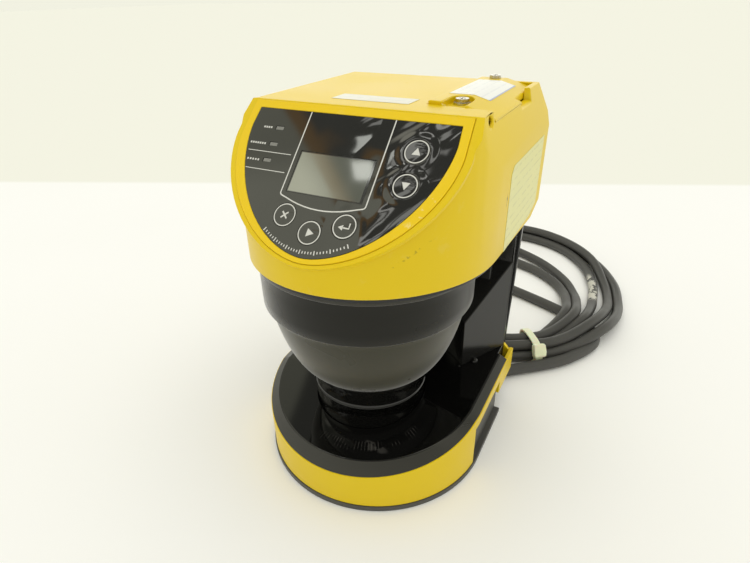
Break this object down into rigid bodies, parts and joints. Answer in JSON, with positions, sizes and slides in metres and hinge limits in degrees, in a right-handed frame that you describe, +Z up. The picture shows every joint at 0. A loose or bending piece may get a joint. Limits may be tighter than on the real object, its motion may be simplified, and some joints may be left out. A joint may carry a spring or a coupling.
{
  "type": "safety laser scanner",
  "caption": "Safety laser scanner: display head on a rear column, hanging window cup with a spinning mirror, D-shaped base and a coiled cable.",
  "frame": {"origin": "on the scan axis, at the surface that the base stands on", "axes": "+Z up along the scan axis, the display face looks to -Y, +X to the right of a person who faces the display"},
  "size_m": [0.216, 0.3445, 0.1738],
  "materials": {
    "yellow_housing": "fine moulded yellow plastic",
    "gloss_black": "polished black plastic",
    "panel_black": "glossy membrane film",
    "satin_black": "satin black plastic",
    "smoked_window": "infrared-passing smoked plastic",
    "steel": "zinc plated",
    "screen_glass": "reflective liquid crystal screen",
    "lcd_case": "moulded frame",
    "lens_white": "light pipe",
    "dark_part": "black moulding",
    "circuit_board": "solder mask",
    "label_white": "plain polyester label",
    "label_green": "plain polyester label",
    "brass_part": "turned brass",
    "lens_glass": "polished glass",
    "motor_grey": "motor can",
    "mirror_coat": "coated mirror",
    "disc_metal": "etched disc",
    "ribbon_grey": "flat cable",
    "cable_jacket": "grey-black PVC jacket",
    "tie_nylon": "natural nylon"
  },
  "bodies": {
    "housing": {"base_plate": "satin_black", "base_plate_screws": "steel", "base_body": "gloss_black", "base_band": "yellow_housing", "side_cover_left": "satin_black", "side_cover_right": "satin_black", "cup_pedestal": "gloss_black", "window_cup": "smoked_window", "column": "gloss_black", "column_back_cover": "gloss_black", "back_cover_screws": "steel", "head_shell": "yellow_housing", "head_underside": "gloss_black", "front_cover": "yellow_housing", "panel_sheet": "panel_black", "lcd_window": "screen_glass", "lcd_module": "lcd_case", "status_lenses": "lens_white", "key_switches": "dark_part", "display_board": "circuit_board", "main_board": "circuit_board", "board_components": "dark_part", "top_module": "yellow_housing", "module_screws": "steel", "module_socket": "dark_part", "top_label": "label_white", "module_label": "label_white", "side_label": "label_green", "optics_frame": "dark_part", "laser_module": "brass_part", "receiver_lens": "lens_glass", "receiver_board": "circuit_board", "motor_stator": "motor_grey", "motor_bearings": "steel", "encoder_sensor": "dark_part", "ribbon_cable": "ribbon_grey", "cable_gland": "satin_black", "cable_lead": "cable_jacket", "cable_coil": "cable_jacket", "cable_tie": "tie_nylon"},
    "mirror_rotor": {"rotor": "dark_part", "scan_mirror": "mirror_coat", "encoder_disc": "disc_metal"},
    "key_left": {"key_left": "panel_black"},
    "key_middle": {"key_middle": "panel_black"},
    "key_right": {"key_right": "panel_black"},
    "key_upper": {"key_upper": "panel_black"},
    "key_lower": {"key_lower": "panel_black"}
  },
  "joints": [
    {"name": "mirror_spin", "type": "hinge", "parent": "housing", "child": "mirror_rotor", "pos_m": [0, 0, 0.07], "axis": [0, 0, 1], "continuous": true},
    {"name": "key_left_press", "type": "slide", "parent": "housing", "child": "key_left", "axis": [0, 0.7071, -0.7071], "range_m": [0, 0.0004], "stiffness_N_per_m": 2000, "springref_m": -0.0002},
    {"name": "key_middle_press", "type": "slide", "parent": "housing", "child": "key_middle", "axis": [0, 0.7071, -0.7071], "range_m": [0, 0.0004], "stiffness_N_per_m": 2000, "springref_m": -0.0002},
    {"name": "key_right_press", "type": "slide", "parent": "housing", "child": "key_right", "axis": [0, 0.7071, -0.7071], "range_m": [0, 0.0004], "stiffness_N_per_m": 2000, "springref_m": -0.0002},
    {"name": "key_upper_press", "type": "slide", "parent": "housing", "child": "key_upper", "axis": [0, 0.7071, -0.7071], "range_m": [0, 0.0004], "stiffness_N_per_m": 2000, "springref_m": -0.0002},
    {"name": "key_lower_press", "type": "slide", "parent": "housing", "child": "key_lower", "axis": [0, 0.7071, -0.7071], "range_m": [0, 0.0004], "stiffness_N_per_m": 2000, "springref_m": -0.0002}
  ]
}
